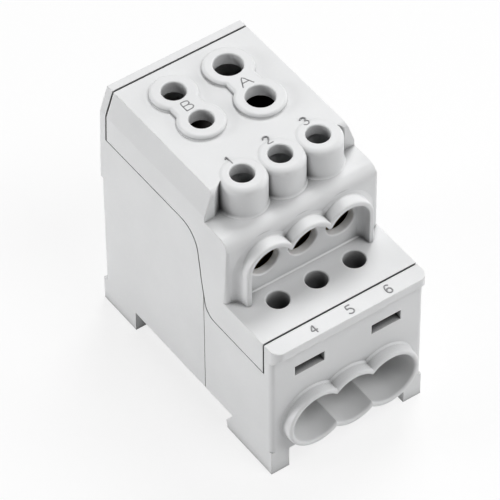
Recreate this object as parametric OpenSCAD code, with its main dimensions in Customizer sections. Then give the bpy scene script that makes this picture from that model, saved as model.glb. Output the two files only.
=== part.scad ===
/* [Housing] */
// Width over the side walls
width = 40.4; // [39.4:0.2:44.4]
// Depth from the front wall to the back of the rear foot
depth = 64.6; // [63.6:0.2:68.6]
// Height of the top face above the mounting surface
height = 65.7; // [64.7:0.1:69.7]
// Thickness of the side and rear walls
wall = 2.0; // [1.6:0.1:2.2]
// Thickness of the roof and of the ledges
roof = 2.0; // [1.8:0.1:2.4]
// How far each side tapers inward between the lower ledge and the shoulder
side_taper = 0.6; // [0.2:0.1:1]
// Height of the shoulder below the top face
shoulder_drop = 6.2; // [5:0.1:7]
// How far each side leans inward above the shoulder
shoulder_lean = 2.1; // [1.5:0.1:2.5]

/* [Steps] */
// Height of the lower ledge
ledge_height = 39.6; // [38.6:0.1:40.6]
// Height of the middle ledge
tier_height = 57.9; // [57.4:0.1:58.9]
// Setback of the middle tier from the front wall
tier_setback = 16.6; // [16:0.1:17]
// Setback of the upper block from the front wall
block_setback = 24.9; // [24:0.1:25.5]
// Rounding along the front edge of the middle ledge
tier_edge_r = 3; // [1:0.1:3.5]
// Rounding along the front edge of the top face
block_edge_r = 1.4; // [0.8:0.1:2]
// Rounding of the upright front edges of the middle tier
tier_corner_r = 1.2; // [0.6:0.1:1.6]
// Width of the upper block's front beside each side wall, out to the pocket by the towers
cheek_width = 2.6; // [2.2:0.1:2.7]
// Width of that pocket, whose face slants back from the cheek into the tower
pocket_width = 2.9; // [2.8:0.1:3.4]
// Depth of that pocket where it meets the tower
pocket_depth = 1.9; // [1:0.1:2.2]
// Rounding of the upright corners at the front wall
wall_corner_r = 1.2; // [0.6:0.1:1.6]

/* [Seams] */
// Thickness of the front wall
front_wall = 2.6; // [2.2:0.1:2.8]
// Open gap between the cover and the walls at its front and rear ends
cover_gap = 0.5; // [0.3:0.1:0.6]
// Open gap along the seam between the cover and the bases
seam_gap = 0.3; // [0.2:0.05:0.4]
// Height of the seam at the front
low_seam = 30.75; // [30:0.25:31.5]
// Height of the seam at the rear
high_seam = 52.45; // [51.95:0.1:53]
// Setback at which the seam starts to climb
seam_setback = 23.7; // [23:0.1:24.5]
// Lean of the climbing stretch of the seam, in degrees from upright
seam_lean = 11; // [8:1:14]
// Rounding at the foot of the climb
seam_low_r = 3.6; // [2:0.1:4]
// Rounding at the head of the climb
seam_high_r = 6.5; // [3:0.1:7]
// Setback of the joint between the two bases
base_joint = 24.9; // [24.5:0.1:26]
// Open gap at that joint
joint_gap = 0.2; // [0.1:0.05:0.3]

/* [Rear wall] */
// Thickness of the upright flange that closes the rear
flange = 2.0; // [1.8:0.1:2.4]
// Inset of the flange from the back of the rear foot
flange_inset = 0.5; // [0.3:0.1:0.8]
// Further inset of the lower rear wall
low_rear_inset = 0.9; // [0.5:0.1:1.2]
// Height up to which the lower rear wall is inset
rear_step_height = 39.7; // [38:0.1:39.9]

/* [Rail foot] */
// Depth of the rail recess
recess_height = 5.7; // [5.4:0.1:6.5]
// Thickness of the floor over the rail recess
floor_plate = 2.0; // [1.8:0.1:2.2]
// Width of each front leg
leg_width = 4.74; // [4:0.02:5.5]
// Depth of the rear foot
rear_foot_depth = 12.5; // [12:0.1:13]
// Play that lets the rail pass between the nose and the rear foot
rail_play = 0.3; // [0.2:0.1:0.8]
// Undercut of the nose at the roof of the recess
nose_undercut = 2.1; // [1.6:0.1:2.2]
// Width of the moulded spring catch in the rear foot
catch_width = 14; // [10:0.5:16]
// Slot on each side of the catch
catch_slot = 1.0; // [0.8:0.1:1.5]
// Reach of the catch under the rail
catch_hold = 1.4; // [1:0.1:1.6]
// Thickness of the catch's tongue
catch_plate = 1.5; // [1.2:0.1:1.6]
// Height of the catch above the mounting surface
catch_lift = 0.4; // [0.3:0.1:0.6]
// Height at which each nose reaches furthest under the rail
nose_height = 2.2; // [1.8:0.1:2.6]
// Lean of each nose below that height
nose_lean = 0.4; // [0.2:0.1:0.6]
// Rounding at the foot of each nose
nose_foot_r = 0.7; // [0.4:0.1:0.8]
// Rounding at the tip of each nose
nose_tip_r = 1; // [0.6:0.1:1]

/* [Rear terminals] */
// Sideways place of the larger terminal's screws
a_x = 6.7; // [6.5:0.1:7.2]
// Distance of the larger terminal's rear screw from the back of the housing
a_rear_margin = 11.3; // [11:0.1:11.6]
// Spacing of the larger terminal's two screws
a_screw_pitch = 11.9; // [11.7:0.1:12.4]
// Radius of the larger screw holes
a_hole_r = 3.4; // [3.3:0.05:3.5]
// Radius of the boss round each larger screw hole
a_boss_r = 5.8; // [5.2:0.1:6]
// Radius of the larger wire bore
a_bore_r = 4.4; // [4:0.1:4.6]
// Radius of the larger wire entry in the rear wall
a_entry_r = 6.0; // [5.5:0.1:6.2]
// Sideways place of the smaller terminal's screws
b_x = -7.46; // [-7.96:0.02:-7.4]
// Distance of the smaller terminal's rear screw from the back of the housing
b_rear_margin = 11.1; // [10.8:0.1:11.4]
// Spacing of the smaller terminal's two screws
b_screw_pitch = 10.4; // [10.2:0.1:11.6]
// Radius of the smaller screw holes
b_hole_r = 2.8; // [2.7:0.05:2.9]
// Radius of the boss round each smaller screw hole
b_boss_r = 5.4; // [4.8:0.1:5.6]
// Radius of the smaller wire bore
b_bore_r = 3.6; // [3.2:0.1:4]
// Radius of the smaller wire entry in the rear wall
b_entry_r = 5.0; // [4.5:0.1:5.4]
// Height of the rear wire bores
rear_bore_height = 46.2; // [46:0.1:46.4]
// How far the rear wire bores run past their inner screws
rear_bore_past = 4; // [3.6:0.1:4.4]
// How far the bosses stand above the top face
boss_rise = 1.2; // [1.1:0.1:1.5]
// Rounding along the bosses' upper edges
boss_edge_r = 0.7; // [0.4:0.1:0.7]
// Fillet at the foot of each boss
boss_foot_r = 0.3; // [0.2:0.05:0.3]
// Half the width of the neck that joins a pair of bosses
boss_neck = 3.7; // [2.5:0.1:4.2]

/* [Middle terminals] */
// Sideways place of the middle one of the towers
tower_x = 0.7; // [0:0.1:0.8]
// Spacing of the towers
tower_pitch = 9.87; // [9.7:0.01:10]
// Setback of the towers' axes
tower_axis = 25.8; // [25.5:0.1:26.2]
// Radius of the towers
tower_r = 5.6; // [5.3:0.1:5.7]
// How far the towers stand above the top face
tower_rise = 0.2; // [0.1:0.1:0.5]
// Rounding of the towers' rims
tower_rim_r = 1.5; // [0.8:0.1:1.8]
// Wall thickness of the hollow towers
tower_wall = 1.5; // [1.2:0.1:1.7]
// Thickness of the towers' tops
tower_roof = 2.9; // [2.6:0.1:3.4]
// Fillet at the foot of each tower
tower_foot_r = 0.7; // [0.4:0.1:0.9]
// Radius of the towers' screw holes
tower_hole_r = 2.75; // [2.65:0.05:2.85]
// Spacing of the round mouths in the middle tier
mouth_pitch = 9.9; // [9.8:0.05:10.1]
// Height of the mouths and of the wire bores behind them
mouth_height = 47.2; // [46.5:0.1:47.5]
// Radius of the mouths
mouth_r = 3.73; // [3.6:0.01:3.75]
// Open gap between the wall of the middle tier and the conductor
mouth_gap = 1.9; // [1.5:0.1:2.2]
// Radius of the middle wire bores
middle_bore_r = 2.9; // [2.7:0.1:3]
// How far the middle wire bores run past their screws
middle_bore_past = 6; // [5.6:0.1:6.4]
// Chamfer round the mouths and the screw holes
hole_chamfer = 0.2; // [0.15:0.05:0.25]

/* [Hood] */
// How far the hood stands out from the middle tier
hood_reach = 3.2; // [2.5:0.1:4]
// Wall thickness of the hood
hood_wall = 1.3; // [1.2:0.05:1.4]
// Spacing of its arches
hood_pitch = 10.25; // [10.15:0.05:10.35]
// Outer radius of each arch
hood_r = 6.5; // [6.4:0.05:6.6]
// Height of the arches' centres
hood_height = 48.2; // [47.8:0.1:48.4]
// Height of the webs' undersides between the arches
hood_web = 50.5; // [50.3:0.1:50.8]
// Rounding along the outer edge of the rim
hood_rim_r = 0.45; // [0.3:0.05:0.6]
// Rounding along the inner edge of the rim
hood_lip_r = 0.3; // [0.2:0.05:0.5]
// Fillet between the hood's legs and the middle tier
hood_foot_r = 2.5; // [2:0.1:2.6]
// Fillet over the crest of each arch
hood_crest_r = 1.2; // [0.8:0.1:1.4]
// Fillet inside the hood
hood_inner_r = 1.5; // [1:0.1:1.5]
// Fillet between the lower ledge and the middle tier
sill_r = 0.6; // [0.4:0.1:0.8]

/* [Front terminals] */
// Spacing of the front terminals
front_pitch = 10.08; // [9.9:0.02:10.3]
// Setback of the front screws
front_axis = 11.64; // [11.4:0.02:12]
// Radius of the screw holes in the lower ledge
front_hole_r = 2.6; // [2.55:0.05:2.8]
// Height of the front wire bores
front_bore_height = 14.3; // [14.1:0.1:14.6]
// Radius of the front wire bores, which run right through the conductor's front step
front_bore_r = 3.6; // [3.2:0.1:3.8]
// Wall thickness of the guides inside the cover that lead a tool to the front screws
guide_wall = 1.2; // [1:0.1:1.4]

/* [Collar] */
// How far the collar stands out from the front wall
collar_reach = 3.0; // [2.5:0.1:4]
// Spacing of the collar's lobes
collar_pitch = 9.6; // [9.5:0.1:10]
// Outer radius of each lobe
collar_r = 7.8; // [7.5:0.1:7.9]
// Wall thickness of the collar
collar_wall = 1.3; // [1.2:0.05:1.4]
// Rounding along both edges of the collar's rim
collar_rim_r = 0.6; // [0.4:0.05:0.6]
// Flare at the root of the collar
collar_root = 0.7; // [0.4:0.1:0.9]
// Wall thickness of the ducts behind the collar
duct_wall = 1.2; // [1:0.1:1.4]

/* [Front lip and windows] */
// How far the lip stands out from the front wall
lip_reach = 1.7; // [1:0.1:2.2]
// Height of the lip's front face
lip_height = 2.3; // [1.6:0.1:3]
// Height of the slope under the lip
lip_slope = 1.7; // [1:0.1:2]
// Rounding of the lip's corners seen from above
lip_corner_r = 2.3; // [1.8:0.1:2.6]
// Width of each latch window
window_width = 7.8; // [7:0.1:8.5]
// Height of each latch window
window_height = 2.8; // [2.4:0.1:3.2]
// Sideways distance of the windows' middles from the centre
window_x = 10.15; // [9.6:0.05:10.6]
// Height of the front windows' lower edges
window_base = 28.35; // [27.8:0.05:28.6]
// Height of the rear windows' lower edges
rear_window_base = 55.2; // [54.9:0.1:56]
// Width of the cover's barbs
barb_width = 6.1; // [5:0.1:6.4]
// How far the barbs reach into the windows
barb_reach = 1.7; // [1.4:0.1:1.8]
// Thickness of the barbs at their tips
barb_tip = 0.7; // [0.5:0.1:1]
// Room above and below each barb in its window
barb_play = 0.3; // [0.2:0.05:0.4]
// How far the catch walls reach down past the windows
catch_drop = 1.5; // [1.2:0.1:1.8]

/* [Conductor and screws] */
// Width of the conductor
block_width = 31.2; // [30.6:0.2:32.4]
// Height of the conductor's top face
block_top = 55.0; // [54.6:0.1:55.2]
// Height of the underside of the conductor's upper bar
bar_bottom = 39.5; // [39:0.1:40]
// Height of the top of the conductor's front step
step_top = 24.4; // [24:0.1:25]
// Setback of the front face of the conductor's front step
step_front = 7.9; // [7.6:0.1:8.2]
// Rear face of the conductor's front step and upright
step_rear = 24.2; // [24:0.1:24.4]
// Gap between the conductor and what lies before and behind it
block_gap = 0.2; // [0.1:0.1:0.3]
// Height of the seats that carry the conductor
seat_rise = 0.6; // [0.4:0.1:0.8]
// Depth of each seat
seat_depth = 2; // [1.5:0.5:3]
// Distance of the seats from the ends of the conductor's front step
seat_inset = 1; // [0.5:0.1:1.5]
// Thickness of the ribs under the conductor's upper bar
rib = 1.6; // [1.2:0.1:2]
// Distance of the front rib behind the front of that bar
rib_front = 14; // [12:0.5:15]
// Distance of the rear rib from the rear of that bar
rib_rear = 5; // [4:0.5:7]
// Running clearance of each screw in its thread, on the radius
thread_gap = 0.1; // [0.08:0.01:0.15]
// Clearance of each screw below its access hole, on the radius
access_gap = 0.4; // [0.35:0.05:0.5]
// Length of the larger rear screws
a_screw_length = 9; // [8:0.5:10]
// Length of the smaller rear screws
b_screw_length = 9; // [8:0.5:10]
// Length of the middle screws
middle_screw_length = 8.5; // [7.5:0.5:9.5]
// Length of the front screws
front_screw_length = 9; // [8:0.5:10]
// Height of each screw's tip above its wire bore when it is backed out
tip_lift = 0.2; // [0.1:0.1:0.4]

/* [Hidden] */
$fn = 64;

// Width of a standard mounting rail, and the thickness of its edges
rail_width = 35;
rail_edge = 1;
// Overshoot of cuts, and the depth by which the ends of fillets are sunk
past = 1;
sink = 0.1;
// Proportions of a set screw to its radius: point, socket depth, hexagon and half the slot
screw_point = 0.3;
screw_socket = 0.9;
screw_hexagon = 0.58;
screw_slot = 0.17;

half = width / 2;
shoulder_height = height - shoulder_drop;
flange_back = depth - flange_inset;
flange_front = flange_back - flange;
cover_front = front_wall + cover_gap;
cover_back = flange_front - cover_gap;
recess_back = depth - rear_foot_depth;
nose_tip = recess_back - rail_width - rail_play;
floor_top = recess_height + floor_plate;
climb_top = seam_setback + (high_seam - low_seam) * tan(seam_lean);
bar_front = tier_setback + wall + mouth_gap;
bar_rear = cover_back - wall - block_gap;
low_rear_back = flange_back - low_rear_inset;
block_bottom = floor_top + seat_rise;
duct_r = collar_r - collar_wall;
catch_tip = nose_tip - nose_undercut + rail_play + rail_width - catch_hold;
hood_front = tier_setback - hood_reach;
hood_inner = hood_r - hood_wall;
boss_top = height + boss_rise;
tower_top = height + tower_rise;
a_screw_r = a_hole_r - access_gap;
b_screw_r = b_hole_r - access_gap;
middle_screw_r = tower_hole_r - access_gap;
front_screw_r = front_hole_r - access_gap;
a_rear = depth - a_rear_margin;
a_front = a_rear - a_screw_pitch;
b_rear = depth - b_rear_margin;
b_front = b_rear - b_screw_pitch;
tower_places = [tower_x - tower_pitch, tower_x, tower_x + tower_pitch];
mouth_places = [-mouth_pitch, 0, mouth_pitch];
hood_places = [-hood_pitch, 0, hood_pitch];
front_places = [-front_pitch, 0, front_pitch];
collar_places = [-collar_pitch, 0, collar_pitch];
light_grey = "#d9dadb";
brass_tone = "#b9974f";
steel_tone = "#9a9da1";

// Frame and profile helpers

// Puts a piece drawn from the front wall back into the middle of the part's own frame
module in_frame() {
    translate([0, -(depth - collar_reach) / 2, 0])
        children();
}

// Extrudes an outline of setback and height across the width w
module across(w) {
    rotate([90, 0, 90])
        linear_extrude(w, center = true)
            children();
}

// Extrudes an outline of sideways place and height from setback y0 back to y1
module backward(y0, y1) {
    translate([0, y1, 0])
        rotate([90, 0, 0])
            linear_extrude(y1 - y0)
                children();
}

// A box between two opposite corners
module block(a, b) {
    translate(a)
        cube(b - a);
}

// A rectangle between two opposite corners
module area(a, b) {
    translate(a)
        square(b - a);
}

function unit(v) = v / norm(v);

// What lies between the corner p and an arc of radius r that touches both its edges, toward a and b
module corner_piece(p, a, b, r) {
    toward_a = unit(a - p);
    toward_b = unit(b - p);
    opening = acos(toward_a * toward_b);
    reach = r / tan(opening / 2);
    centre = p + unit(toward_a + toward_b) * r / sin(opening / 2);
    difference() {
        polygon([p, p + toward_a * reach, centre, p + toward_b * reach]);
        translate(centre)
            circle(r);
    }
}

// Cross-section of the housing seen from the front, drawn in by inset, with its top at z
module section(inset = 0, z = height) {
    low = half - inset;
    waist = half - side_taper - inset;
    crown = waist - shoulder_lean * (z - shoulder_height) / shoulder_drop;
    polygon([[-low, -past], [low, -past], [low, ledge_height], [waist, shoulder_height], [crown, z],
             [-crown, z], [-waist, shoulder_height], [-low, ledge_height]]);
}

// Side outline of the space under the seam, which both bases fill
module under_seam() {
    foot = [seam_setback, low_seam];
    head = [climb_top, high_seam];
    difference() {
        union() {
            area([-past, -past], [depth + past, low_seam]);
            polygon([foot, head, [depth + past, high_seam], [depth + past, low_seam]]);
            corner_piece(foot, [0, low_seam], head, seam_low_r);
        }
        corner_piece(head, foot, [depth, high_seam], seam_high_r);
    }
}

// Side outline of the cover above the bases, with walls drawn in by s and roofs by t
module cover_side(s = 0, t = 0) {
    bottom = low_seam - 10;
    edge_r = max(tier_edge_r - s, 0.6);
    top_r = max(block_edge_r - s, 0.4);
    front_s = s == 0 ? 0 : s + pocket_depth;
    union() {
        area([cover_front + s, bottom], [cover_back - s, ledge_height - t]);
        difference() {
            area([tier_setback + s, bottom], [cover_back - s, tier_height - t]);
            corner_piece([tier_setback + s, tier_height - t], [tier_setback + s, 0],
                         [depth, tier_height - t], edge_r);
        }
        difference() {
            area([block_setback + front_s, bottom], [cover_back - s, height - t]);
            corner_piece([block_setback + front_s, height - t], [block_setback + front_s, 0],
                         [depth, height - t], top_r);
        }
    }
}

module cover_form(s = 0, t = 0) {
    intersection() {
        across(width)
            cover_side(s, t);
        backward(0, depth)
            section(s, height - t);
    }
}

// Turns an outline of radius and reach about an axis that points forward out of the housing
module forward_turn(x, y, z) {
    translate([x, y, z])
        rotate([90, 0, 0])
            rotate_extrude()
                children();
}

module forward_bore(x, y0, y1, z, r) {
    translate([x, y1, z])
        rotate([90, 0, 0])
            cylinder(h = y1 - y0, r = r);
}

// Cover

// Cuts that round the upright front edges of the middle tier
module tier_corners() {
    r = tier_corner_r;
    for (side = [-1, 1])
        scale([side, 1, 1])
            translate([0, 0, ledge_height])
                linear_extrude(tier_height - ledge_height + past)
                    difference() {
                        area([half - r, tier_setback - past], [half + past, tier_setback + r]);
                        translate([half - r, tier_setback + r])
                            circle(r);
                    }
}

// Pockets between the upper block's cheeks and the towers
module pockets() {
    outer = half - side_taper - cheek_width;
    inner = outer - pocket_width;
    for (side = [-1, 1])
        scale([side, 1, 1])
            translate([0, 0, tier_height])
                linear_extrude(height - tier_height + past)
                    polygon([[outer, block_setback - past], [outer, block_setback],
                             [inner, block_setback + pocket_depth], [inner, block_setback - past]]);
}

module tower(x) {
    foot = tier_height - sink;
    translate([x, tower_axis, 0])
        rotate_extrude() {
            difference() {
                area([0, tier_height - roof], [tower_r, tower_top]);
                corner_piece([tower_r, tower_top], [0, tower_top], [tower_r, 0], tower_rim_r);
            }
            corner_piece([tower_r, foot], [tower_r, tower_top], [width, foot], tower_foot_r);
        }
}

// Two raised discs joined by a neck
module boss_pair(x, y0, y1, r) {
    base = height - roof / 2;
    foot = height - sink;
    for (y = [y0, y1])
        translate([x, y, 0])
            rotate_extrude() {
                difference() {
                    area([0, base], [r, boss_top]);
                    corner_piece([r, boss_top], [0, boss_top], [r, 0], boss_edge_r);
                }
                corner_piece([r, foot], [r, boss_top], [width, foot], boss_foot_r);
            }
    backward(y0, y1)
        difference() {
            area([x - boss_neck, base], [x + boss_neck, boss_top]);
            for (side = [-1, 1])
                corner_piece([x + side * boss_neck, boss_top], [x, boss_top],
                             [x + side * boss_neck, 0], boss_edge_r);
        }
}

// Solid form of one arch, with its rim rounded and a fillet at its root
module hood_arch(x) {
    drop = hood_foot_r - hood_crest_r;
    intersection() {
        union() {
            forward_turn(x, tier_setback, hood_height)
                difference() {
                    area([0, -wall / 2], [hood_r, hood_reach]);
                    corner_piece([hood_r, hood_reach], [0, hood_reach], [hood_r, 0], hood_rim_r);
                }
            forward_turn(x, tier_setback, hood_height - drop)
                union() {
                    area([0, -wall / 2], [hood_r, 0]);
                    corner_piece([hood_r, -sink], [hood_r, hood_reach], [width, -sink], hood_foot_r);
                }
        }
        block([-half, 0, hood_height - drop], [half, depth, height]);
    }
}

// Solid form of the two legs and all that lies between them
module hood_legs() {
    edge = hood_pitch + hood_r;
    foot = tier_setback + sink;
    translate([0, 0, ledge_height - roof / 2])
        linear_extrude(hood_height - ledge_height + roof / 2)
            difference() {
                area([-edge, hood_front], [edge, tier_setback + wall / 2]);
                for (side = [-1, 1])
                    corner_piece([side * edge, hood_front], [0, hood_front], [side * edge, depth],
                                 hood_rim_r);
            }
    translate([0, 0, ledge_height - roof / 2])
        linear_extrude(hood_height - hood_foot_r + hood_crest_r - ledge_height + roof / 2)
            for (side = [-1, 1])
                corner_piece([side * edge, foot], [side * edge, 0], [side * half * 2, foot],
                             hood_foot_r);
}

// Open space under the hood, which keeps a fillet all round its foot
module hood_space() {
    edge = hood_pitch + hood_inner;
    foot = tier_setback + sink;
    for (x = hood_places)
        forward_turn(x, tier_setback, hood_height) {
            difference() {
                area([0, -wall], [hood_inner, hood_reach + past]);
                corner_piece([hood_inner, -sink], [0, -sink], [hood_inner, hood_reach], hood_inner_r);
            }
            corner_piece([hood_inner, hood_reach], [width, hood_reach], [hood_inner, 0], hood_lip_r);
        }
    translate([0, 0, ledge_height - roof])
        linear_extrude(hood_height - ledge_height + roof)
            union() {
                difference() {
                    area([-edge, hood_front - past], [edge, tier_setback + wall]);
                    for (side = [-1, 1])
                        corner_piece([side * edge, foot], [0, foot], [side * edge, 0], hood_inner_r);
                }
                for (side = [-1, 1])
                    corner_piece([side * edge, hood_front], [side * half * 2, hood_front],
                                 [side * edge, depth], hood_lip_r);
            }
    block([-hood_pitch, hood_front - past, ledge_height - roof],
          [hood_pitch, tier_setback + wall, hood_web]);
}

module hood() {
    difference() {
        union() {
            for (x = hood_places)
                hood_arch(x);
            hood_legs();
        }
        hood_space();
    }
}

// Fillet along the foot of the middle tier, between the hood's legs
module sill() {
    corner = [tier_setback + sink / 2, ledge_height - sink / 2];
    across(2 * (hood_pitch + hood_r) - hood_wall)
        corner_piece(corner, [0, corner[1]], [corner[0], height], sill_r);
}

// Upright wall of the cover behind a base's wall, with barbs that catch in its windows
module catch_wall(face, into, z0, z1, window_z) {
    outer = half - wall - access_gap;
    tip = face - into * barb_reach;
    root = face + into * wall / 2;
    barb_top = window_z + window_height - barb_play;
    barb_low = window_z + barb_play;
    y0 = min(face, face + into * wall);
    block([-outer, y0, z0], [outer, y0 + wall, z1]);
    for (x = [-window_x, window_x])
        translate([x + (barb_width - window_width) / 2 + barb_play, 0, 0])
            across(barb_width)
                polygon([[root, barb_top], [tip, barb_top], [tip, barb_top - barb_tip],
                         [face, barb_low], [root, barb_low]]);
}

// Round hole down through a top face at height z, with a chamfer at its mouth
module screw_hole(x, y, length, z, r) {
    translate([x, y, z - length])
        cylinder(h = length + past, r = r);
    translate([x, y, z - hole_chamfer])
        cylinder(h = 2 * hole_chamfer, r1 = r, r2 = r + 2 * hole_chamfer);
}

module screw_holes() {
    roof_length = roof + boss_rise + past;
    for (y = [a_front, a_rear])
        screw_hole(a_x, y, roof_length, boss_top, a_hole_r);
    for (y = [b_front, b_rear])
        screw_hole(b_x, y, roof_length, boss_top, b_hole_r);
    for (x = tower_places) {
        screw_hole(x, tower_axis, tower_roof + past, tower_top, tower_hole_r);
        translate([x, tower_axis, tier_height - roof - past])
            cylinder(h = tower_top - tower_roof - tier_height + roof + past, r = tower_r - tower_wall);
    }
    for (x = front_places)
        screw_hole(x, front_axis, ledge_height - step_top, ledge_height, front_hole_r);
}

// Round mouth through the wall of the middle tier, with a chamfer at its rim
module mouth(x) {
    rim = mouth_r + hole_chamfer;
    forward_bore(x, tier_setback - sink, tier_setback + wall + past, mouth_height, mouth_r);
    forward_turn(x, tier_setback, mouth_height)
        polygon([[0, -hole_chamfer], [mouth_r, -hole_chamfer], [rim + sink, sink], [0, sink]]);
}

module cover() {
    guide_top = ledge_height - roof / 2;
    color(light_grey)
        in_frame()
            difference() {
                union() {
                    difference() {
                        cover_form();
                        cover_form(wall, roof);
                        across(width + 2 * past)
                            under_seam();
                        tier_corners();
                        pockets();
                    }
                    for (x = tower_places)
                        tower(x);
                    boss_pair(a_x, a_front, a_rear, a_boss_r);
                    boss_pair(b_x, b_front, b_rear, b_boss_r);
                    hood();
                    sill();
                    catch_wall(cover_front, 1, window_base - catch_drop, guide_top, window_base);
                    catch_wall(cover_back, -1, high_seam + seam_gap, height - roof / 2, rear_window_base);
                    for (x = front_places)
                        translate([x, front_axis, step_top + block_gap])
                            cylinder(h = guide_top - step_top - block_gap,
                                     r = front_hole_r + guide_wall);
                }
                screw_holes();
                for (x = mouth_places)
                    mouth(x);
            }
}

// Bases

// Side outline that both bases keep below the cover
module base_side() {
    translate([seam_gap, -seam_gap])
        under_seam();
}

// Front leg with the rounded nose that hooks over the rail
module leg(side) {
    low = [nose_tip - nose_lean / 2, 0];
    tip = [nose_tip + nose_lean / 2, nose_height];
    root = [nose_tip - nose_undercut, recess_height];
    translate([side * (half - leg_width / 2), 0, 0])
        across(leg_width)
            difference() {
                polygon([[0, 0], low, tip, root, [root[0], recess_height + floor_plate / 2],
                         [0, recess_height + floor_plate / 2]]);
                corner_piece(low, [0, 0], tip, nose_foot_r);
                corner_piece(tip, low, root, nose_tip_r);
            }
}

module collar_ring(x) {
    forward_turn(x, 0, front_bore_height) {
        difference() {
            area([duct_r - sink, -front_wall / 2], [collar_r, collar_reach]);
            corner_piece([collar_r, collar_reach], [0, collar_reach], [collar_r, 0], collar_rim_r);
        }
        corner_piece([collar_r, -sink], [collar_r, collar_reach], [width, -sink], collar_root);
    }
}

// What the collar, the front wall and the duct behind it leave open for the wires
module collar_cavity(x) {
    forward_turn(x, 0, front_bore_height) {
        area([0, -step_front], [duct_r, collar_reach + past]);
        corner_piece([duct_r, collar_reach], [width, collar_reach], [duct_r, 0], collar_rim_r);
    }
}

// Lip along the top of the front wall, sloped underneath and round at its corners
module lip() {
    foot = ledge_height - lip_height - lip_slope;
    intersection() {
        across(width)
            polygon([[0, foot], [-lip_reach, ledge_height - lip_height], [-lip_reach, ledge_height],
                     [front_wall, ledge_height], [front_wall, foot]]);
        linear_extrude(height)
            difference() {
                area([-half, -lip_reach], [half, front_wall]);
                for (side = [-1, 1])
                    corner_piece([side * half, -lip_reach], [0, -lip_reach], [side * half, depth],
                                 lip_corner_r);
            }
    }
}

module latch_windows(y0, y1, z) {
    for (x = [-window_x, window_x])
        block([x - window_width / 2, y0, z], [x + window_width / 2, y1, z + window_height]);
}

module front_base() {
    back = base_joint - joint_gap / 2;
    color(light_grey)
        in_frame()
            difference() {
                union() {
                    difference() {
                        linear_extrude(ledge_height)
                            difference() {
                                area([-half, 0], [half, back]);
                                for (side = [-1, 1])
                                    corner_piece([side * half, 0], [0, 0], [side * half, depth],
                                                 wall_corner_r);
                            }
                        across(width + 2 * past)
                            difference() {
                                area([-past, -past], [depth, height]);
                                area([-past - 1, recess_height], [front_wall, ledge_height]);
                                intersection() {
                                    area([-past - 1, recess_height], [depth, ledge_height]);
                                    base_side();
                                }
                            }
                        block([wall - half, front_wall, floor_top], [half - wall, depth, height]);
                    }
                    lip();
                    for (side = [-1, 1])
                        leg(side);
                    for (x = collar_places) {
                        collar_ring(x);
                        forward_bore(x, front_wall / 2, step_front - block_gap, front_bore_height,
                                     duct_r + duct_wall);
                    }
                    for (y = [step_front + seat_inset, step_rear - seat_inset - seat_depth])
                        block([-block_width / 2, y, floor_top - floor_plate / 2],
                              [block_width / 2, y + seat_depth, block_bottom]);
                }
                for (x = collar_places)
                    collar_cavity(x);
                latch_windows(-lip_reach, front_wall + past, window_base);
            }
}

// Spring catch moulded into the rear foot, with its barb under the rail's edge
module rail_catch() {
    top = catch_lift + catch_plate;
    hold = recess_height - rail_edge - sink;
    hinge = recess_back + rear_foot_depth / 3;
    across(catch_width)
        union() {
            area([hinge, catch_lift], [hinge + catch_plate, recess_height + floor_plate / 2]);
            area([recess_back - past, catch_lift], [depth - catch_lift, top]);
            polygon([[catch_tip + catch_plate, catch_lift], [catch_tip, hold - catch_hold],
                     [catch_tip, hold], [recess_back - catch_lift, hold],
                     [recess_back + catch_plate / 2, top], [recess_back + catch_plate / 2, catch_lift]]);
        }
}

module rear_foot() {
    gap = catch_width / 2 + catch_slot;
    difference() {
        block([-half, recess_back, 0], [half, depth, recess_height + floor_plate / 2]);
        block([-gap, recess_back - past, -past], [gap, depth + past, recess_height]);
    }
    rail_catch();
}

module rear_base() {
    front = base_joint + joint_gap / 2;
    color(light_grey)
        in_frame()
            difference() {
                union() {
                    intersection() {
                        backward(0, depth)
                            section();
                        difference() {
                            across(width)
                                intersection() {
                                    union() {
                                        area([front, recess_height], [low_rear_back, high_seam]);
                                        area([front, rear_step_height], [flange_back, high_seam]);
                                    }
                                    base_side();
                                }
                            intersection() {
                                backward(0, depth)
                                    section(wall);
                                across(width) {
                                    area([front - past, floor_top], [low_rear_back - wall, height]);
                                    area([front - past, rear_step_height], [flange_front, height]);
                                }
                            }
                        }
                    }
                    intersection() {
                        backward(0, depth)
                            section();
                        block([-half, flange_front, rear_step_height], [half, flange_back, height]);
                    }
                    rear_foot();
                    for (y = [bar_front + rib_front, bar_rear - rib_rear])
                        block([wall / 2 - half, y, floor_top - floor_plate / 2],
                              [half - wall / 2, y + rib, bar_bottom]);
                }
                forward_bore(a_x, flange_front - past, depth, rear_bore_height, a_entry_r);
                forward_bore(b_x, flange_front - past, depth, rear_bore_height, b_entry_r);
                latch_windows(flange_front - past, depth, rear_window_base);
            }
}

// Conductor and screws

module thread_hole(x, y, r, bottom, top) {
    translate([x, y, bottom])
        cylinder(h = top - bottom + past, r = r);
}

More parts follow.
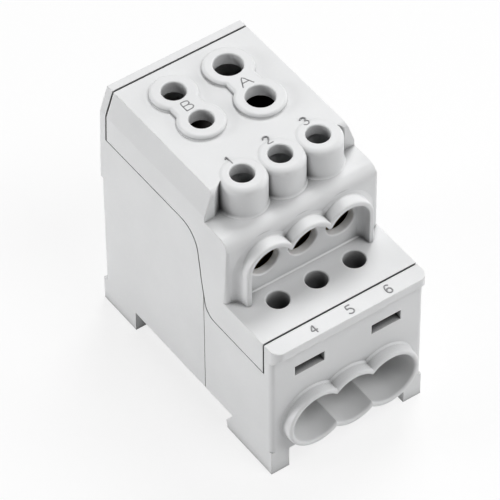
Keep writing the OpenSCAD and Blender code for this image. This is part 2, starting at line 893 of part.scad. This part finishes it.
module conductor_block() {
    color(brass_tone)
        in_frame()
            difference() {
                across(block_width)
                    polygon([[step_front, block_bottom], [step_rear, block_bottom],
                             [step_rear, bar_bottom], [bar_rear, bar_bottom],
                             [bar_rear, block_top], [bar_front, block_top],
                             [bar_front, step_top], [step_front, step_top]]);
                forward_bore(a_x, a_front - rear_bore_past, bar_rear + past,
                             rear_bore_height, a_bore_r);
                forward_bore(b_x, b_front - rear_bore_past, bar_rear + past,
                             rear_bore_height, b_bore_r);
                for (x = tower_places) {
                    forward_bore(x, bar_front - past, tower_axis + middle_bore_past,
                                 mouth_height, middle_bore_r);
                    thread_hole(x, tower_axis, middle_screw_r + thread_gap, mouth_height, block_top);
                }
                for (x = front_places) {
                    forward_bore(x, step_front - past, step_rear + past,
                                 front_bore_height, front_bore_r);
                    thread_hole(x, front_axis, front_screw_r + thread_gap, front_bore_height, step_top);
                }
                for (y = [a_front, a_rear])
                    thread_hole(a_x, y, a_screw_r + thread_gap, rear_bore_height, block_top);
                for (y = [b_front, b_rear])
                    thread_hole(b_x, y, b_screw_r + thread_gap, rear_bore_height, block_top);
            }
}

// Set screw standing on its point, with a hexagon socket or a slot in its top
module set_screw(r, length, hexagon) {
    point = r * screw_point;
    socket = r * screw_socket;
    color(steel_tone)
        difference() {
            union() {
                cylinder(h = point, r1 = r - point, r2 = r);
                translate([0, 0, point])
                    cylinder(h = length - point, r = r);
            }
            translate([0, 0, length - socket])
                if (hexagon)
                    cylinder(h = socket + past, r = r * screw_hexagon, $fn = 6);
                else
                    block([-r - past, -r * screw_slot, 0], [r + past, r * screw_slot, socket + past]);
        }
}

module a_screw(y) {
    in_frame()
        translate([a_x, y, rear_bore_height + a_bore_r + tip_lift])
            set_screw(a_screw_r, a_screw_length, true);
}

module b_screw(y) {
    in_frame()
        translate([b_x, y, rear_bore_height + b_bore_r + tip_lift])
            set_screw(b_screw_r, b_screw_length, true);
}

module middle_screw(x) {
    in_frame()
        translate([x, tower_axis, mouth_height + middle_bore_r + tip_lift])
            set_screw(middle_screw_r, middle_screw_length, false);
}

module front_screw(x) {
    in_frame()
        translate([x, front_axis, front_bore_height + front_bore_r + tip_lift])
            set_screw(front_screw_r, front_screw_length, false);
}

cover();
rear_base();
front_base();
conductor_block();
a_screw(a_rear);  // screw_a_rear
a_screw(a_front);  // screw_a_front
b_screw(b_rear);  // screw_b_rear
b_screw(b_front);  // screw_b_front
middle_screw(tower_places[0]);  // screw_1
middle_screw(tower_places[1]);  // screw_2
middle_screw(tower_places[2]);  // screw_3
front_screw(front_places[0]);  // screw_4
front_screw(front_places[1]);  // screw_5
front_screw(front_places[2]);  // screw_6
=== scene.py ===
"""Looks for a stepped power distribution block: camera, lamps, floor, materials and moulded marks.

The frame is the part's own: +Z up, -Y towards the front collar and +X to the right, in metres.
The camera's place and the marks are given in mm.
"""

import math

import bmesh
import bpy
from mathutils import Matrix, Vector


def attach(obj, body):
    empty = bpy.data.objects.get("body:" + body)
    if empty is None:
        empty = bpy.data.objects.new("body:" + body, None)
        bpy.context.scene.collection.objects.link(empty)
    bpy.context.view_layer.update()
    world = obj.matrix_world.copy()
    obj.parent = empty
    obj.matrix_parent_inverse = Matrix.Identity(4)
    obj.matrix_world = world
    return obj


MM = 0.001

# The camera, fitted to the edges of the photograph. Its angles are in degrees, its place, lens and
# sensor in mm, and its clipping distances in metres.
CAMERA_AZIMUTH = -35.068
CAMERA_ELEVATION = 46.909
CAMERA_ROLL = -0.504
CAMERA_PLACE = (-357.33, -503.62, 692.20)
CAMERA_LENS = 298.93
CAMERA_SENSOR = 36
CAMERA_NEAR = 0.05
CAMERA_FAR = 20

# Round lamps of one size, aimed at one point: each one's place and its watts.
LAMP_SIZE = 0.6
LAMP_TARGET = (0, 0, 0.03)
LAMPS = {
    "left": ((-1.28, 0.57, 0.40), 11.4),
    "right": ((1.34, 0.00, 0.57), 3.8),
    "front_right": ((0.95, -0.95, 0.57), 4.0),
    "front_top": ((0.24, -0.70, 1.27), 7.7),
    "rear_top": ((0.60, 0.47, 1.26), 10.8),
}

# The world's strength for the rays that see the background, and as a faint fill for all others.
WHITE = (1, 1, 1, 1)
WORLD_SEEN = 1.0
WORLD_FILL = 0.02

# The floor lies just under the feet. Where it is seen, most of its white is a glow, and the rest is
# paint that takes the shadow.
FLOOR_HALF = 3.0
FLOOR_DROP = 0.03 * MM
FLOOR_PAINT = (0.90, 0.90, 0.90, 1)
FLOOR_GLOW = 1.0
FLOOR_GLOW_SHARE = 0.80

# Greys and metals, as linear colours.
PLASTIC_LIGHT = (0.735, 0.740, 0.745, 1)
PLASTIC_DARK = (0.690, 0.695, 0.700, 1)
# Light flecks in the plastic, and the painted highlight that lightens its sharp edges.
PLASTIC_SPECK_AND_HIGHLIGHT = (0.90, 0.90, 0.90, 1)
# Painted shade for the plastic, deep in cavities and in corners.
PLASTIC_CAVITY_SHADE = (0.085, 0.086, 0.088, 1)
PLASTIC_CORNER_SHADE = (0.36, 0.362, 0.365, 1)
# The moulded marks are the housing's own plastic: their dark grey is painted shade, standing in for
# the shade along the sides of the raised strokes.
MARK_SHADE = (0.26, 0.26, 0.265, 1)
MARK_SHADE_DARK = (0.20, 0.20, 0.205, 1)
BRASS = (0.72, 0.52, 0.20, 1)
BRASS_DARK = (0.48, 0.32, 0.11, 1)
# Painted shade: the conductor's top, near black, where it lies at the bottoms of the deep holes.
BRASS_TOP_SHADE = (0.030, 0.028, 0.026, 1)
BRASS_STEP = (0.34, 0.335, 0.32, 1)
STEEL = (0.50, 0.51, 0.52, 1)
STEEL_DARK = (0.28, 0.29, 0.30, 1)
# Painted shade for metal that nearby walls close in.
METAL_CAVITY_SHADE = (0.012, 0.012, 0.012, 1)

# Painted shade from nearby walls: how far a surface looks round itself, the share of the sky at
# which it counts as shut in and takes the full shade colour, and the share at which it counts as
# clear.
PLASTIC_CAVITIES = (6 * MM, 0.22, 0.64)
PLASTIC_CORNERS = (1.2 * MM, 0.25, 0.80)
METAL_CAVITIES = (5 * MM, 0.0, 0.45)
SKY_SAMPLES = 8

# Rounded normals: radius and samples. Sharp edges get a painted highlight: an edge counts as sharp
# where the rounded normal has turned so far that its product with the true one has dropped from the
# first level to the second.
EDGE_ROUNDING = (0.35 * MM, 4)
PLASTIC_ROUNDING = (0.30 * MM, 6)
METAL_ROUNDING = (0.2 * MM, 4)
EDGE_LEVELS = (1.0, 0.80)

# Noise: scale, detail and roughness. Levels are the part of its range that is used.
CLOUDS = (55.0, 3.0, 0.5)
CLOUD_LEVELS = (0.3, 0.7)
SPECKS = (2600.0, 2.0, 0.7)
SPECK_LEVELS = (0.60, 0.80)
SPECK_SHARES = (0.0, 0.30)
GLOSS = (900.0, 2.0, 0.5)
GLOSS_LEVELS = (0.3, 0.7)
GRAIN = (3800.0, 3.0, 0.6)
STAINS = (240.0, 4.0, 0.5)
STAIN_LEVELS = (0.35, 0.75)
TOOL_LINES = (1.0, 2.0, 0.5)
TOOL_LINE_LEVELS = (0.2, 0.8)

# Tool lines are noise stretched along them: scale along the lines and across them.
SCALE_ALONG_LINES = 60.0
SCALE_ACROSS_LINES = 3200.0

# Bumps: strength and distance.
PLASTIC_BUMP = (0.16, 0.03 * MM)
METAL_BUMP = (0.3, 0.02 * MM)

# Gloss of the plastic, and the least roughness of each metal with how much more it may have.
PLASTIC_ROUGHNESS = (0.42, 0.52)
PLASTIC_IOR = 1.49
BRASS_ROUGHNESS = 0.26
STEEL_ROUGHNESS = 0.32
ROUGHNESS_SPREAD = 0.14

# A metal keeps its own colour between these heights, and each has a band over which it changes.
# Above them the conductor's top is painted near black, as shade at the bottoms of the deep holes,
# and below them its front step is tinned. The screws are painted a darker steel above and below,
# as shade deep in their holes.
TOP_SHADE_HEIGHT = 54.7 * MM
TOP_SHADE_BAND = 0.2 * MM
TIN_AND_SHADE_HEIGHT = 38 * MM
TIN_AND_SHADE_BAND = 0.5 * MM

# Sockets of a Mix node that mixes colours.
MIX_FIRST = 6
MIX_SECOND = 7
MIX_RESULT = 2

# Axes by number.
AXIS_Y = 1
AXIS_Z = 2

# Strokes of the moulded numbers and letters, in mm: half their width, and how far they rise. The
# letters stand on the highest faces, so they rise by next to nothing, to keep the overall height.
STROKE_HALF = 0.17
NUMBER_RISE = 0.16
LETTER_RISE = 0.03
STROKE_SIDES = 10

# How much of each side a bend takes up, and a stroke's rounded end: how far it reaches, as a share
# of the half width, and how large its last ring is.
BEND_SHARE = 0.25
CAP_REACH = 0.7
CAP_SCALE = 0.6

# Each mark: place of its middle in mm, size over its outline, rise, and its strokes. An outline
# runs from -0.5 to 0.5 sideways and from 0 to 1 upward, seen from above with +Y up.
MARKS = {
    "mark_1": (
        (-9.17, -0.30, 65.83),
        (1.3, 2.4),
        NUMBER_RISE,
        [[(-0.4, 0.80), (0, 1), (0, 0)]],
    ),
    "mark_2": (
        (0.78, -0.15, 65.83),
        (1.4, 2.4),
        NUMBER_RISE,
        [[(-0.5, 0.76), (-0.3, 0.95), (0, 1), (0.35, 0.92), (0.45, 0.72), (0.3, 0.5),
          (-0.5, 0), (0.5, 0)]],
    ),
    "mark_3": (
        (10.50, -0.20, 65.83),
        (1.4, 2.4),
        NUMBER_RISE,
        [[(-0.45, 0.86), (-0.2, 0.99), (0.15, 0.99), (0.42, 0.86), (0.42, 0.66), (0.1, 0.53),
          (0.45, 0.40), (0.5, 0.2), (0.25, 0.02), (-0.15, 0), (-0.5, 0.14)]],
    ),
    "mark_4": (
        (-9.00, -30.42, 39.6),
        (1.5, 2.4),
        NUMBER_RISE,
        [[(0.25, 0), (0.25, 1), (-0.5, 0.3), (0.5, 0.3)]],
    ),
    "mark_5": (
        (0.60, -30.40, 39.6),
        (1.4, 2.4),
        NUMBER_RISE,
        [[(0.42, 1), (-0.35, 1), (-0.42, 0.55), (-0.1, 0.64), (0.25, 0.58), (0.5, 0.38),
          (0.46, 0.16), (0.2, 0.02), (-0.15, 0), (-0.5, 0.12)]],
    ),
    "mark_6": (
        (10.75, -30.43, 39.6),
        (1.4, 2.4),
        NUMBER_RISE,
        [[(0.4, 0.9), (0.1, 1), (-0.2, 0.95), (-0.42, 0.72), (-0.5, 0.42), (-0.42, 0.16),
          (-0.15, 0.01), (0.2, 0.02), (0.46, 0.18), (0.46, 0.42), (0.2, 0.58), (-0.15, 0.56),
          (-0.47, 0.34)]],
    ),
    "mark_a": (
        (6.60, 16.30, 66.89),
        (2.8, 3.0),
        LETTER_RISE,
        [[(-0.5, 0), (0, 1), (0.5, 0)], [(-0.32, 0.36), (0.32, 0.36)]],
    ),
    "mark_b": (
        (-7.55, 17.40, 66.89),
        (2.1, 2.7),
        LETTER_RISE,
        [[(-0.5, 0), (-0.5, 1), (0.1, 1), (0.36, 0.9), (0.36, 0.66), (0.1, 0.54), (-0.5, 0.54)],
         [(0.1, 0.54), (0.46, 0.4), (0.5, 0.16), (0.2, 0), (-0.5, 0)]],
    ),
}

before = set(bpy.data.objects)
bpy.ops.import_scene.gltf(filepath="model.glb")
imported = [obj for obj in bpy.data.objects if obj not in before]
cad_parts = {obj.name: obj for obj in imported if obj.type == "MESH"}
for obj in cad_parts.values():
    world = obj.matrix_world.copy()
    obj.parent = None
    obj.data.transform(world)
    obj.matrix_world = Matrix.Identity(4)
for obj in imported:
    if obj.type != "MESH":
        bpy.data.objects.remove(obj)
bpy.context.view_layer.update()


def add_object(name, data):
    """A new object in the scene."""
    made = bpy.data.objects.new(name, data)
    bpy.context.scene.collection.objects.link(made)
    return made


def camera_axes():
    """Right, up and backward of the camera, from its azimuth, elevation and roll."""
    azimuth = math.radians(CAMERA_AZIMUTH)
    elevation = math.radians(CAMERA_ELEVATION)
    roll = math.radians(CAMERA_ROLL)
    back = Vector(
        (
            math.sin(azimuth) * math.cos(elevation),
            -math.cos(azimuth) * math.cos(elevation),
            math.sin(elevation),
        )
    )
    right = (-back).cross(Vector((0, 0, 1))).normalized()
    up = right.cross(-back)
    rolled_right = right * math.cos(roll) + up * math.sin(roll)
    rolled_up = -right * math.sin(roll) + up * math.cos(roll)
    return rolled_right, rolled_up, back


def make_camera():
    data = bpy.data.cameras.new("camera")
    data.sensor_width = CAMERA_SENSOR
    data.lens = CAMERA_LENS
    data.clip_start = CAMERA_NEAR
    data.clip_end = CAMERA_FAR
    camera = add_object("camera", data)
    turn = Matrix(camera_axes()).transposed().to_4x4()
    camera.matrix_world = Matrix.Translation(Vector(CAMERA_PLACE) * MM) @ turn
    bpy.context.scene.camera = camera


def make_lamps():
    for name, (place, watts) in LAMPS.items():
        data = bpy.data.lights.new(name, "AREA")
        data.shape = "DISK"
        data.size = LAMP_SIZE
        data.energy = watts
        lamp = add_object(name, data)
        lamp.location = place
        look = Vector(LAMP_TARGET) - Vector(place)
        lamp.rotation_mode = "QUATERNION"
        lamp.rotation_quaternion = look.to_track_quat("-Z", "Y")


def empty_tree(owner):
    """The node tree of a world or a material, with no nodes."""
    owner.use_nodes = True
    owner.node_tree.nodes.clear()
    return owner.node_tree


def seen_rays(tree):
    """1 for rays that see the background: from the camera, off gloss or through glass."""
    path = tree.nodes.new("ShaderNodeLightPath")
    seen = path.outputs["Is Camera Ray"]
    for kind in ("Is Glossy Ray", "Is Transmission Ray"):
        either = tree.nodes.new("ShaderNodeMath")
        either.operation = "MAXIMUM"
        tree.links.new(seen, either.inputs[0])
        tree.links.new(path.outputs[kind], either.inputs[1])
        seen = either.outputs[0]
    return seen


def blend_to_output(tree, output, share, first, second):
    """Sends first to the output where share is 0, and second where it is 1."""
    mix = tree.nodes.new("ShaderNodeMixShader")
    out = tree.nodes.new(output)
    tree.links.new(share, mix.inputs["Fac"])
    tree.links.new(first, mix.inputs[1])
    tree.links.new(second, mix.inputs[2])
    tree.links.new(mix.outputs[0], out.inputs["Surface"])


def make_world():
    world = bpy.data.worlds.new("studio")
    bpy.context.scene.world = world
    tree = empty_tree(world)
    shades = []
    for strength in (WORLD_FILL, WORLD_SEEN):
        shade = tree.nodes.new("ShaderNodeBackground")
        shade.inputs["Color"].default_value = WHITE
        shade.inputs["Strength"].default_value = strength
        shades.append(shade.outputs[0])
    blend_to_output(tree, "ShaderNodeOutputWorld", seen_rays(tree), *shades)


def make_floor():
    mesh = bpy.data.meshes.new("floor")
    half, low = FLOOR_HALF, -FLOOR_DROP
    corners = [(-half, -half, low), (half, -half, low), (half, half, low), (-half, half, low)]
    mesh.from_pydata(corners, [], [(0, 1, 2, 3)])
    floor = add_object("floor", mesh)
    material = bpy.data.materials.new("pale_floor")
    tree = empty_tree(material)
    paint = tree.nodes.new("ShaderNodeBsdfDiffuse")
    paint.inputs["Color"].default_value = FLOOR_PAINT
    glow = tree.nodes.new("ShaderNodeEmission")
    glow.inputs["Strength"].default_value = FLOOR_GLOW
    share = tree.nodes.new("ShaderNodeMath")
    share.operation = "MULTIPLY"
    share.inputs[1].default_value = FLOOR_GLOW_SHARE
    tree.links.new(seen_rays(tree), share.inputs[0])
    blend_to_output(
        tree, "ShaderNodeOutputMaterial", share.outputs[0], paint.outputs[0], glow.outputs[0]
    )
    mesh.materials.append(material)


def new_material(name):
    """A material with one shader: itself, its tree, the shader and the place on the object."""
    material = bpy.data.materials.new(name)
    tree = empty_tree(material)
    shader = tree.nodes.new("ShaderNodeBsdfPrincipled")
    out = tree.nodes.new("ShaderNodeOutputMaterial")
    tree.links.new(shader.outputs[0], out.inputs["Surface"])
    where = tree.nodes.new("ShaderNodeTexCoord").outputs["Object"]
    return material, tree, shader, where


def noise(tree, where, kind):
    scale, detail, roughness = kind
    made = tree.nodes.new("ShaderNodeTexNoise")
    made.inputs["Scale"].default_value = scale
    made.inputs["Detail"].default_value = detail
    made.inputs["Roughness"].default_value = roughness
    tree.links.new(where, made.inputs["Vector"])
    return made.outputs["Fac"]


def remap(tree, value, levels, results=(0.0, 1.0)):
    """value between two levels as a number between two results, and no further."""
    made = tree.nodes.new("ShaderNodeMapRange")
    made.inputs["From Min"].default_value = levels[0]
    made.inputs["From Max"].default_value = levels[1]
    made.inputs["To Min"].default_value = results[0]
    made.inputs["To Max"].default_value = results[1]
    tree.links.new(value, made.inputs["Value"])
    return made.outputs["Result"]


def blend_colours(tree, share, first, second):
    """first where share is 0 and second where it is 1. Either is a colour or a socket."""
    made = tree.nodes.new("ShaderNodeMix")
    made.data_type = "RGBA"
    tree.links.new(share, made.inputs["Factor"])
    for socket, colour in ((made.inputs[MIX_FIRST], first), (made.inputs[MIX_SECOND], second)):
        if isinstance(colour, tuple):
            socket.default_value = colour
        else:
            tree.links.new(colour, socket)
    return made.outputs[MIX_RESULT]


def rounded_normal(tree, rounding):
    radius, samples = rounding
    made = tree.nodes.new("ShaderNodeBevel")
    made.samples = samples
    made.inputs["Radius"].default_value = radius
    return made.outputs[0]


def edge_highlight_share(tree):
    """Near 1 on a sharp edge and 0 on a flat face, from how far a rounded normal turns: the share
    of painted highlight.
    """
    rounded = rounded_normal(tree, EDGE_ROUNDING)
    geometry = tree.nodes.new("ShaderNodeNewGeometry")
    dot = tree.nodes.new("ShaderNodeVectorMath")
    dot.operation = "DOT_PRODUCT"
    tree.links.new(rounded, dot.inputs[0])
    tree.links.new(geometry.outputs["Normal"], dot.inputs[1])
    return remap(tree, dot.outputs["Value"], EDGE_LEVELS)


def painted_shade_share(tree, walls):
    """1 where nearby walls shut out the sky and 0 where they leave it clear: the share of painted
    shade.
    """
    reach, shut, clear = walls
    sky = tree.nodes.new("ShaderNodeAmbientOcclusion")
    sky.samples = SKY_SAMPLES
    sky.inputs["Distance"].default_value = reach
    return remap(tree, sky.outputs["AO"], (shut, clear), (1.0, 0.0))


def add_bump(tree, shader, height, bump, rounding):
    """Gives the shader a bump of height over slightly rounded edges."""
    strength, distance = bump
    made = tree.nodes.new("ShaderNodeBump")
    made.inputs["Strength"].default_value = strength
    made.inputs["Distance"].default_value = distance
    tree.links.new(height, made.inputs["Height"])
    tree.links.new(rounded_normal(tree, rounding), made.inputs["Normal"])
    tree.links.new(made.outputs[0], shader.inputs["Normal"])


def plastic(name, light, dark, edge):
    """Grained plastic with light flecks, a painted highlight on its edges and painted shade in its
    corners and cavities.
    """
    material, tree, shader, where = new_material(name)
    clouds = remap(tree, noise(tree, where, CLOUDS), CLOUD_LEVELS)
    specks = remap(tree, noise(tree, where, SPECKS), SPECK_LEVELS, SPECK_SHARES)
    colour = blend_colours(tree, clouds, light, dark)
    colour = blend_colours(tree, specks, colour, edge)
    # Painted highlight: sharp edges are lightened towards a near white.
    colour = blend_colours(tree, edge_highlight_share(tree), colour, edge)
    # Painted shade: corners and cavities darken by how much of the sky nearby walls shut out.
    colour = blend_colours(tree, painted_shade_share(tree, PLASTIC_CORNERS), colour, PLASTIC_CORNER_SHADE)
    colour = blend_colours(tree, painted_shade_share(tree, PLASTIC_CAVITIES), colour, PLASTIC_CAVITY_SHADE)
    tree.links.new(colour, shader.inputs["Base Color"])
    gloss = remap(tree, noise(tree, where, GLOSS), GLOSS_LEVELS, PLASTIC_ROUGHNESS)
    tree.links.new(gloss, shader.inputs["Roughness"])
    shader.inputs["IOR"].default_value = PLASTIC_IOR
    add_bump(tree, shader, noise(tree, where, GRAIN), PLASTIC_BUMP, PLASTIC_ROUNDING)
    return material


def metal(name, bright, dark, top, step, roughness, axis):
    """Machined metal with fine tool lines across an axis, painted shade above a height and where
    nearby walls close it in, and another colour below.
    """
    material, tree, shader, where = new_material(name)
    stretch = tree.nodes.new("ShaderNodeMapping")
    scale = [SCALE_ALONG_LINES] * 3
    scale[axis] = SCALE_ACROSS_LINES
    stretch.inputs["Scale"].default_value = scale
    tree.links.new(where, stretch.inputs["Vector"])
    lines = noise(tree, stretch.outputs[0], TOOL_LINES)
    split = tree.nodes.new("ShaderNodeSeparateXYZ")
    tree.links.new(where, split.inputs[0])
    height = split.outputs["Z"]
    stains = remap(tree, noise(tree, where, STAINS), STAIN_LEVELS)
    # Painted shade above a height, on the conductor's top and the screws; below a height, the
    # conductor's tinned step and painted shade on the screws.
    top_shade = remap(tree, height, (TOP_SHADE_HEIGHT, TOP_SHADE_HEIGHT + TOP_SHADE_BAND))
    tin_and_shade = remap(tree, height, (TIN_AND_SHADE_HEIGHT, TIN_AND_SHADE_HEIGHT - TIN_AND_SHADE_BAND))
    colour = blend_colours(tree, stains, bright, dark)
    colour = blend_colours(tree, top_shade, colour, top)
    colour = blend_colours(tree, tin_and_shade, colour, step)
    # Painted shade where nearby walls close the metal in.
    colour = blend_colours(tree, painted_shade_share(tree, METAL_CAVITIES), colour, METAL_CAVITY_SHADE)
    tree.links.new(colour, shader.inputs["Base Color"])
    shader.inputs["Metallic"].default_value = 1.0
    gloss = remap(tree, lines, TOOL_LINE_LEVELS, (roughness, roughness + ROUGHNESS_SPREAD))
    tree.links.new(gloss, shader.inputs["Roughness"])
    add_bump(tree, shader, lines, METAL_BUMP, METAL_ROUNDING)
    return material


def dress(node, material):
    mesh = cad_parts[node].data
    mesh.materials.clear()
    mesh.materials.append(material)


def dress_all():
    housing = plastic("light_grey_plastic", PLASTIC_LIGHT, PLASTIC_DARK, PLASTIC_SPECK_AND_HIGHLIGHT)
    brass = metal(
        "machined_brass", BRASS, BRASS_DARK, BRASS_TOP_SHADE, BRASS_STEP, BRASS_ROUGHNESS, AXIS_Y
    )
    # The screws take the darker steel above and below as painted shade.
    steel = metal(
        "plated_steel", STEEL, STEEL_DARK, STEEL_DARK, STEEL_DARK, STEEL_ROUGHNESS, AXIS_Z
    )
    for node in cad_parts:
        if node.startswith("screw"):
            dress(node, steel)
        elif node == "conductor_block":
            dress(node, brass)
        else:
            dress(node, housing)


def stroke_path(points, place, size):
    """A stroke's outline points as places in mm, eased at its bends by three points each."""
    middle = Vector(place) - Vector((0, size[1] / 2, 0))
    corners = [middle + Vector((u * size[0], v * size[1], 0)) for u, v in points]
    path = [corners[0]]
    for before, corner, after in zip(corners, corners[1:], corners[2:]):
        start = corner.lerp(before, BEND_SHARE)
        end = corner.lerp(after, BEND_SHARE)
        path += [start, (start + 2 * corner + end) / 4, end]
    path.append(corners[-1])
    return path


def ring(mesh, centre, along, rise, scale):
    """One cross-section of a stroke: an ellipse square to along."""
    side = Vector((along.y, -along.x, 0))
    up = Vector((0, 0, 1))
    made = []
    for i in range(STROKE_SIDES):
        angle = 2 * math.pi * i / STROKE_SIDES
        reach = side * math.cos(angle) * STROKE_HALF + up * math.sin(angle) * rise
        made.append(mesh.verts.new((centre + reach * scale) * MM))
    return made


def add_stroke(mesh, path, rise):
    """A closed bead with rounded ends, half sunk in the surface that it stands on."""
    rings = []
    last = len(path) - 1
    for i, centre in enumerate(path):
        along = (path[min(i + 1, last)] - path[max(i - 1, 0)]).normalized()
        cap = along * STROKE_HALF * CAP_REACH
        if i == 0:
            rings.append(ring(mesh, centre - cap, along, rise, CAP_SCALE))
        rings.append(ring(mesh, centre, along, rise, 1.0))
        if i == last:
            rings.append(ring(mesh, centre + cap, along, rise, CAP_SCALE))
    for first, second in zip(rings, rings[1:]):
        for i in range(STROKE_SIDES):
            j = (i + 1) % STROKE_SIDES
            mesh.faces.new((first[i], first[j], second[j], second[i]))
    mesh.faces.new(rings[0][::-1])
    mesh.faces.new(rings[-1])


def make_marks():
    # The marks are painted dark grey as the shade along their raised strokes.
    grey = plastic("mark_painted_shade", MARK_SHADE, MARK_SHADE_DARK, MARK_SHADE)
    for name, (place, size, rise, strokes) in MARKS.items():
        shape = bmesh.new()
        for points in strokes:
            add_stroke(shape, stroke_path(points, place, size), rise)
        bmesh.ops.recalc_face_normals(shape, faces=shape.faces)
        for face in shape.faces:
            face.smooth = True
        mesh = bpy.data.meshes.new(name)
        shape.to_mesh(mesh)
        shape.free()
        mesh.materials.append(grey)
        mark = add_object(name, mesh)
        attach(mark, "housing")


bpy.context.scene.view_settings.view_transform = "Standard"
make_camera()
make_world()
make_floor()
make_lamps()
dress_all()
make_marks()
